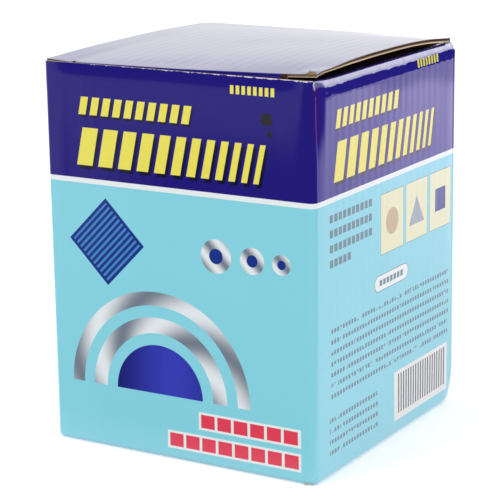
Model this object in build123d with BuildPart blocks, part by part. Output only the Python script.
"""A small tuck-top carton of glossy printed E-flute board, folded from one blank.

The front faces -Y, the right side +X, and the base rests on Z = 0.
"""

from build123d import *
import os
from math import asin, cos, radians, sin

os.makedirs("parts", exist_ok=True)

# Outside of the erected carton, in millimetres
width = 76.0
depth = 76.0
front_height = 97.0

# Corrugated board: two liners with an E-flute web between them
board = 1.2
liner = 0.25
flute_pitch = 3.3
flute_mouth_depth = 2.5

# Folds
corner_radius = 1.8
base_fold_radius = 1.5
top_fold_radius = 1.9
corner_relief = 1.1

# Lid: its crease is on the back panel, and the panel bows up, more on the right than on the left
lid_width = 75.4
lid_back_z = 97.7
lid_front_z = (97.6, 97.15, 97.45, 98.25, 98.5)
lid_bow = (0.72, 1.95)
bow_power = 2.5
bow_points = 9
flat_edge = 2.0
crease_radius = 0.6 * board
crease_gap = 0.2
crease_half_width = width / 2 - board - 0.6
crease_notch = 2.6

# Tuck flap on the lid's front edge, curled so that it slides in behind the front panel
tuck_clearance = 0.4
tuck_drop = 14.5
tuck_half_width = 34.5
tuck_corner = 6.0
lid_fold_radius = 1.1
slit_start = 30.0
slit_gap = 0.5
tuck_taper = 1.5
fold_step = 0.05
edge_flute_depth = 0.8

# Dust flaps, folded in over the contents from the left and the right panel
dust_fold_top = {"left": 95.9, "right": 96.7}
dust_length = 28.0
dust_slope = 14.0
dust_root_half = depth / 2 - corner_relief
dust_step_half = 35.5
dust_neck_half = 33.6
dust_tip_half = 31.0
dust_tip_radius = 6.0

# Crash-lock base: two large flaps outside, two glued small flaps inside
seam_gap = 0.5
seam_offset = 4.0
seam_turn = 10.0
small_flap_reach = 23.0
small_flap_tip_half = 12.0
side_gap = 0.4
relief_length = 2.4
relief_height = 0.7

# Glue flap of the upright joint, inside the left panel at the back corner
glue_flap_width = 13.0
glue_flap_low = 6.0
glue_flap_high = 88.0
glue_flap_taper = 4.0
joint_line_width = 0.35
joint_line_depth = 0.6

inside_x = width / 2 - board
inside_y = depth / 2 - board
crease_y = depth / 2 - crease_radius
crease_z = lid_back_z - crease_radius
back_height = crease_z - crease_radius - crease_gap
lid_front_y = tuck_clearance - inside_y
tuck_outer = crease_y - lid_front_y - fold_step
tuck_inner = tuck_outer - board
lid_edge = lid_width / 2
lid_stations = (-lid_edge, -slit_start, 0.0, slit_start, lid_edge)


def front_z_at(x):
    """The height of the lid's front edge at x, even between one station and the next."""
    spans = list(zip(lid_stations, lid_stations[1:], lid_front_z, lid_front_z[1:]))
    start, end, low, high = next((span for span in spans if x <= span[1]), spans[-1])
    return low + (high - low) * (x - start) / (end - start)


def bowed_line(x, rise):
    """Points from the crease to the front edge at x: a straight slope with the bow on it, and a rise."""
    share = x / lid_width + 0.5
    bow = lid_bow[0] + (lid_bow[1] - lid_bow[0]) * share
    front_z = front_z_at(x)
    bowed_share = 1 - flat_edge / (crease_y - lid_front_y)
    points = []
    for run in [bowed_share * step / (bow_points - 1) for step in range(bow_points)] + [1]:
        height = lid_back_z + (front_z - lid_back_z) * run + bow * (1 - abs(2 * run - 1) ** bow_power)
        points.append((crease_y + (lid_front_y - crease_y) * run, height + rise))
    return points


def dust_flap(fold_top):
    """The right panel's dust flap: a rolled fold, then a tapered flap that slopes down inwards."""
    slope = radians(dust_slope)
    middle = (width / 2 - top_fold_radius, fold_top - top_fold_radius)
    inner_radius = top_fold_radius - board

    def on_roll(radius, angle, along=0.0):
        """A point at an angle round the roll, or further along the flap from there."""
        return (
            middle[0] + radius * cos(angle) - along * cos(slope),
            middle[1] + radius * sin(angle) - along * sin(slope),
        )

    end = radians(90) + slope
    with BuildPart() as flap:
        with BuildSketch(Plane.XZ):
            with BuildLine():
                outer = ThreePointArc(on_roll(top_fold_radius, 0), on_roll(top_fold_radius, end / 2),
                                      on_roll(top_fold_radius, end))
                top = Line(outer @ 1, on_roll(top_fold_radius, end, dust_length))
                tip = Line(top @ 1, on_roll(inner_radius, end, dust_length))
                under = Line(tip @ 1, on_roll(inner_radius, end))
                inner = ThreePointArc(under @ 1, on_roll(inner_radius, end / 2), on_roll(inner_radius, 0))
                Line(inner @ 1, outer @ 0)
            make_face()
        extrude(amount=dust_root_half, both=True)

        tip_x = on_roll(top_fold_radius, end, dust_length)[0] - 1
        neck_x = inside_x - 1.9
        with BuildSketch(Plane.XY.offset(fold_top + 1)):
            with BuildLine():
                Polyline(
                    (width / 2 + 1, -dust_root_half), (inside_x, -dust_root_half),
                    (inside_x - 0.4, -dust_step_half), (neck_x, -dust_neck_half), (tip_x, -dust_tip_half),
                    (tip_x, dust_tip_half), (neck_x, dust_neck_half), (inside_x - 0.4, dust_step_half),
                    (inside_x, dust_root_half), (width / 2 + 1, dust_root_half),
                    close=True,
                )
            outline = make_face()
            fillet(outline.vertices().group_by(Axis.X)[0], dust_tip_radius)
        extrude(amount=-20, mode=Mode.INTERSECT)
    return flap.part


def small_base_flap():
    """The right panel's small base flap, a trapezoid glued on the two large ones."""
    with BuildPart() as flap:
        with BuildSketch(Plane.XY.offset(board)):
            with BuildLine():
                Polyline(
                    (inside_x + 0.2, inside_y - 1), (inside_x + 0.2, 1 - inside_y),
                    (inside_x - small_flap_reach, -small_flap_tip_half),
                    (inside_x - small_flap_reach, small_flap_tip_half),
                    close=True,
                )
            make_face()
        extrude(amount=board)
    return flap.part


def flute_mouths():
    """Both rows of open flutes in the front panel's raw top edge, each one a hump against a liner."""
    chord = flute_pitch - 0.6
    rise = board - 2 * liner - 0.2
    count = int((width - 2 * corner_radius) / flute_pitch)
    rows = ((-depth / 2 + liner, 1, 0.0), (-depth / 2 + board - liner, -1, flute_pitch / 2))
    with BuildPart() as mouths:
        for row_y, way, shift in rows:
            with BuildSketch(Plane.XY.offset(front_height)):
                with GridLocations(flute_pitch, 1, count, 1):
                    with Locations((shift - flute_pitch / 4, row_y)):
                        with BuildSketch(mode=Mode.PRIVATE) as hump:
                            with BuildLine():
                                ThreePointArc((-chord / 2, 0), (0, way * rise), (chord / 2, 0))
                                Line((chord / 2, 0), (-chord / 2, 0))
                            make_face()
                        add(hump.sketch)
            extrude(amount=-flute_mouth_depth)
    return mouths.part


with BuildPart() as carton:
    # Walls and base are one tray, rounded where the board folds
    with BuildSketch():
        RectangleRounded(width, depth, corner_radius)
    extrude(amount=front_height)
    fillet(carton.faces().sort_by(Axis.Z)[0].edges(), base_fold_radius)
    with BuildSketch(Plane.XY.offset(board)):
        RectangleRounded(2 * inside_x, 2 * inside_y, corner_radius - board)
    extrude(amount=front_height, mode=Mode.SUBTRACT)

    # The back panel ends under the lid's crease, and the side panels where their folds begin
    for cut_width, cut_depth in ((width + 2, corner_relief), (2 * inside_x, board + 0.1)):
        with Locations((0, depth / 2, back_height)):
            Box(cut_width, 2 * cut_depth, 10,
                align=(Align.CENTER, Align.CENTER, Align.MIN), mode=Mode.SUBTRACT)
    for side, way in (("left", -1), ("right", 1)):
        fold_start = dust_fold_top[side] - top_fold_radius
        with Locations((way * width / 2, 0, fold_start)):
            Box(2 * (board + 0.8), 2 * dust_root_half, 10,
                align=(Align.CENTER, Align.CENTER, Align.MIN), mode=Mode.SUBTRACT)
        flap = dust_flap(dust_fold_top[side])
        add(flap if way > 0 else flap.mirror(Plane.YZ))

    # Open flutes in the raw edge of the front panel
    add(flute_mouths(), mode=Mode.SUBTRACT)

    # The two large base flaps meet in a hooked seam, and are cut free of the side panels
    with BuildSketch():
        with BuildLine():
            Polyline(
                (-inside_x, -seam_offset), (-seam_turn, -seam_offset),
                (seam_turn, seam_offset), (inside_x, seam_offset),
            )
        trace(line_width=seam_gap)
        with GridLocations(2 * (inside_x - side_gap), 1, 2, 1):
            Rectangle(side_gap, 2 * inside_y)
    extrude(amount=board, mode=Mode.SUBTRACT)
    flap = small_base_flap()
    add(flap)
    add(flap.mirror(Plane.YZ))

    # Relief cuts at the four ends of the large flaps' creases
    with GridLocations(2 * (inside_x - relief_length / 2), depth, 2, 2):
        Box(relief_length, 2 * corner_relief, 2 * relief_height, mode=Mode.SUBTRACT)

    # Glue flap inside the left panel, and the line where that panel's cut edge meets the back fold
    with BuildSketch(Plane.YZ.offset(-inside_x)):
        with BuildLine():
            Polyline(
                (inside_y, glue_flap_low), (inside_y, glue_flap_high),
                (inside_y - glue_flap_width, glue_flap_high - glue_flap_taper),
                (inside_y - glue_flap_width, glue_flap_low + glue_flap_taper),
                close=True,
            )
        make_face()
    extrude(amount=board)
    with Locations((-width / 2, inside_y, base_fold_radius)):
        Box(2 * joint_line_depth, joint_line_width, back_height,
            align=(Align.CENTER, Align.CENTER, Align.MIN), mode=Mode.SUBTRACT)

carton.part.label = "carton"
export_step(carton.part, "parts/carton.step")


def panel_section(x, folded=False, inset=0.0):
    """The lid panel's section at x, from its crease to a folded or a raw front edge, inset on both faces."""
    with BuildSketch(Plane.YZ.offset(x)) as section:
        with BuildLine():
            top = bowed_line(x, -inset)
            under = bowed_line(x, inset - board)
            Spline(*top[:-1])
            Polyline(top[-2], top[-1], under[-1], under[-2])
            Spline(*under[:-1])
            Line(under[0], top[0])
        make_face()
        if folded:
            fillet(section.vertices().group_by(Axis.X)[0].sort_by(Axis.Y)[-1], lid_fold_radius)
    return section.sketch


def on_swing(radius, angle):
    """The point of a circle about the crease, at an angle below the level, as the front panel meets it."""
    return crease_y - radius * cos(angle), crease_z - radius * sin(angle)


def tuck_section(x, top):
    """The tuck flap's section at x, curled about the lid's crease, from a height down to its tip."""
    start = asin((crease_z - top) / tuck_outer)
    end = asin(tuck_drop / tuck_outer)
    middle = (start + end) / 2
    with BuildSketch(Plane.YZ.offset(x)) as section:
        with BuildLine():
            face = ThreePointArc(*(on_swing(tuck_outer, angle) for angle in (start, middle, end)))
            back = ThreePointArc(*(on_swing(tuck_inner, angle) for angle in (end, middle, start)))
            Line(face @ 1, back @ 0)
            Line(back @ 1, face @ 0)
        make_face()
    return section.sketch


with BuildPart() as tuck_flap:
    # The middle runs up into the lid's fold, and the shoulders stop short of it: the slit lock
    stretches = (
        (-tuck_half_width, -slit_start, -slit_gap),
        (-slit_start, 0, board / 4),
        (0, slit_start, board / 4),
        (slit_start, tuck_half_width, -slit_gap),
    )
    for start, end, rise in stretches:
        loft([tuck_section(x, front_z_at(x) - board + rise) for x in (start, end)], ruled=True)
    tip_z = crease_z - tuck_drop
    with BuildSketch(Plane.XZ.offset(-lid_front_y - 4)):
        with BuildLine():
            Polyline(
                (-tuck_half_width, lid_back_z), (tuck_half_width, lid_back_z),
                (tuck_half_width - tuck_taper, tip_z), (tuck_taper - tuck_half_width, tip_z),
                close=True,
            )
        outline = make_face()
        fillet(outline.vertices().group_by(Axis.Y)[0], tuck_corner)
    extrude(amount=8, mode=Mode.INTERSECT)

with BuildPart() as lid:
    # The bowed panel: folded down in the middle of its front edge, cut raw at both corners
    for start, end, folded in zip(lid_stations, lid_stations[1:], (False, True, True, False)):
        loft([panel_section(start, folded), panel_section(end, folded)], ruled=True)

    # Half-open flutes between the liners of both side edges
    for way in (-1, 1):
        groove = [panel_section(way * x, inset=liner) for x in (lid_edge + 0.1, lid_edge - edge_flute_depth)]
        loft(groove, ruled=True, mode=Mode.SUBTRACT)

    # The crease: a thin roll between the back panel's two upright creases
    with GridLocations(lid_width, 1, 2, 1):
        with Locations((0, crease_y, front_height)):
            Box(2 * (lid_edge - crease_half_width), 2 * crease_notch, 20, mode=Mode.SUBTRACT)
    with BuildSketch(Plane.YZ):
        with Locations((crease_y, crease_z)):
            Circle(crease_radius)
    extrude(amount=crease_half_width, both=True)
    add(tuck_flap)

lid.part.label = "lid"
export_step(lid.part, "parts/lid.step")
